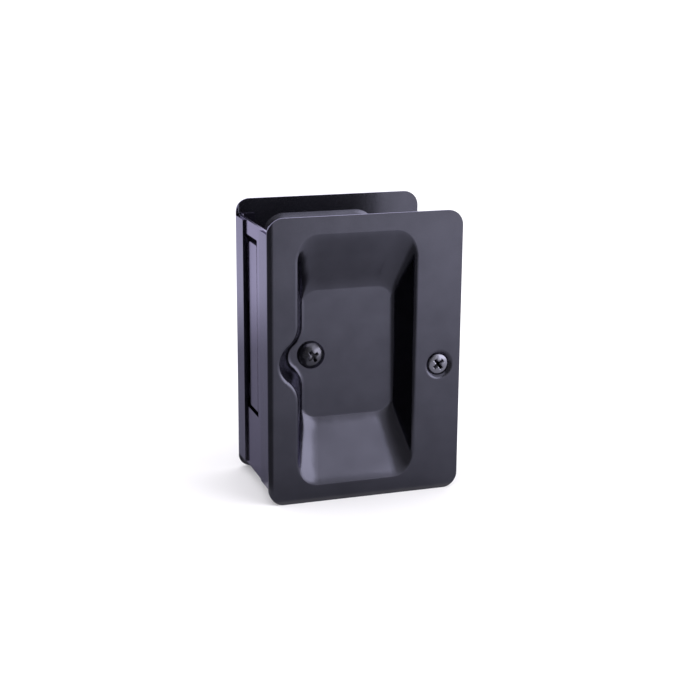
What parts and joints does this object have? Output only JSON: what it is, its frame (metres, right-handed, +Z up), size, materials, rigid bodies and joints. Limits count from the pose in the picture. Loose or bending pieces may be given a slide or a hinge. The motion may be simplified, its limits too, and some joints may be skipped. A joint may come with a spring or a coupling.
{
  "type": "pocket door pull",
  "caption": "Adjustable pocket door pull: two pressed plates with finger recesses that straddle a door's edge, joined over a sliding edge channel with a finger tab.",
  "frame": {"origin": "middle of the foot: half way along the plates, half way between their outer faces, at their lower edges", "axes": "+Z up along the plates, +X from the door's edge inwards, +Y through the door from the front plate to the back plate"},
  "size_m": [0.0572, 0.0362, 0.0825],
  "materials": {
    "shell_paint": "semi-gloss near-black bronze",
    "channel_paint": "semi-gloss near-black bronze",
    "screw_black": "glossy black oxide",
    "post_black": "satin black"
  },
  "bodies": {
    "back_half": {"back_shell": "shell_paint", "clamp_post": "post_black", "back_door_screw": "screw_black"},
    "channel": {"edge_channel": "channel_paint"},
    "front_half": {"front_shell": "shell_paint", "clamp_screw": "screw_black", "front_door_screw": "screw_black"}
  },
  "joints": [
    {"name": "channel_slide", "type": "slide", "parent": "back_half", "child": "channel", "axis": [0, -1, 0], "range_m": [0, 0.00476]},
    {"name": "front_slide", "type": "slide", "parent": "channel", "child": "front_half", "axis": [0, -1, 0], "range_m": [0, 0.00476]}
  ]
}
